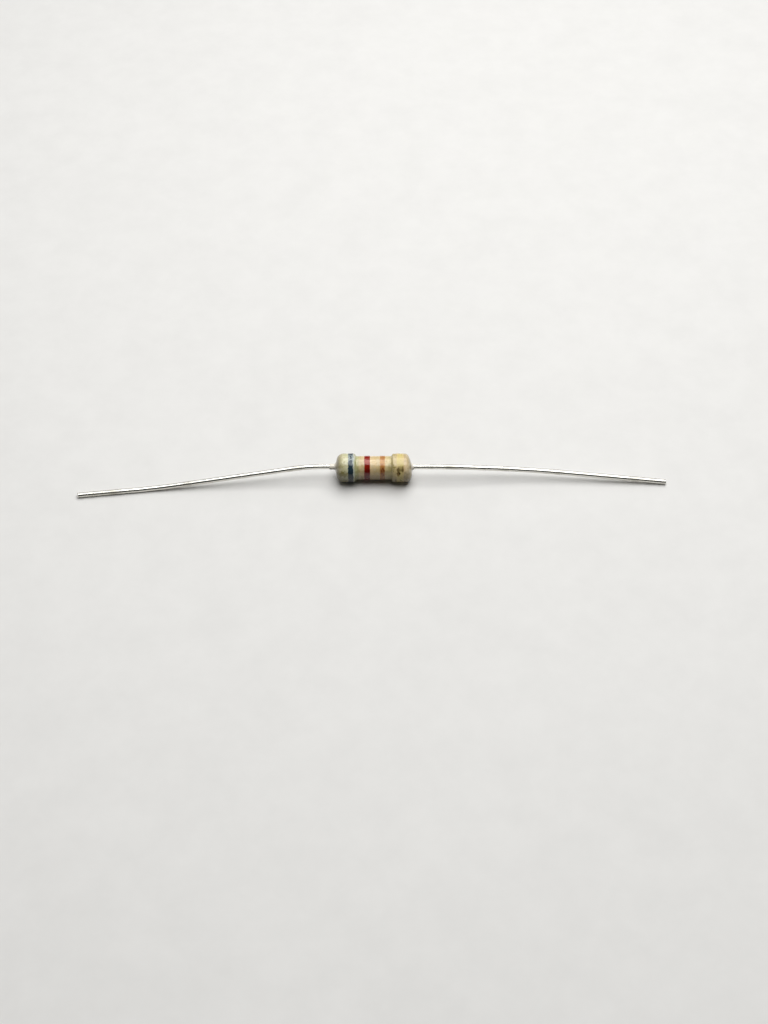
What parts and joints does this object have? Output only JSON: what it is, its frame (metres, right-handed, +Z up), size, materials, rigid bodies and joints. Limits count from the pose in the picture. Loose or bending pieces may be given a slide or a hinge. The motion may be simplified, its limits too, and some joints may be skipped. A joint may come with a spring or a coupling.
{
  "type": "axial resistor",
  "caption": "Small film resistor with a lacquered dog-bone body, printed colour bands and a thin, slightly bent tinned lead at each end, lying at rest.",
  "frame": {"origin": "middle of the outline's underside, on the plane the part lies on", "axes": "+X along the body from the blue band's end to the gold band's end, +Z up from the plane the part lies on, -Y the side that both leads bend towards"},
  "size_m": [0.05, 0.0036, 0.0024],
  "materials": {
    "rod": "matt, as fired",
    "film": "dull carbon deposit",
    "cap_steel": "pressed and tin plated",
    "tinned_wire": "bright tinned, drawn",
    "lacquer": "baked lacquer, satin gloss",
    "blue_paint": "printed paint under the lacquer's gloss",
    "red_paint": "printed paint under the lacquer's gloss",
    "orange_paint": "printed paint under the lacquer's gloss",
    "gold_paint": "printed metallic paint, patchy"
  },
  "bodies": {
    "root": {"ceramic_core": "rod", "carbon_film": "film", "left_end_cap": "cap_steel", "right_end_cap": "cap_steel", "left_lead": "tinned_wire", "right_lead": "tinned_wire", "lacquer_coat": "lacquer", "blue_band": "blue_paint", "red_band": "red_paint", "orange_band": "orange_paint", "gold_band": "gold_paint"}
  },
  "joints": []
}
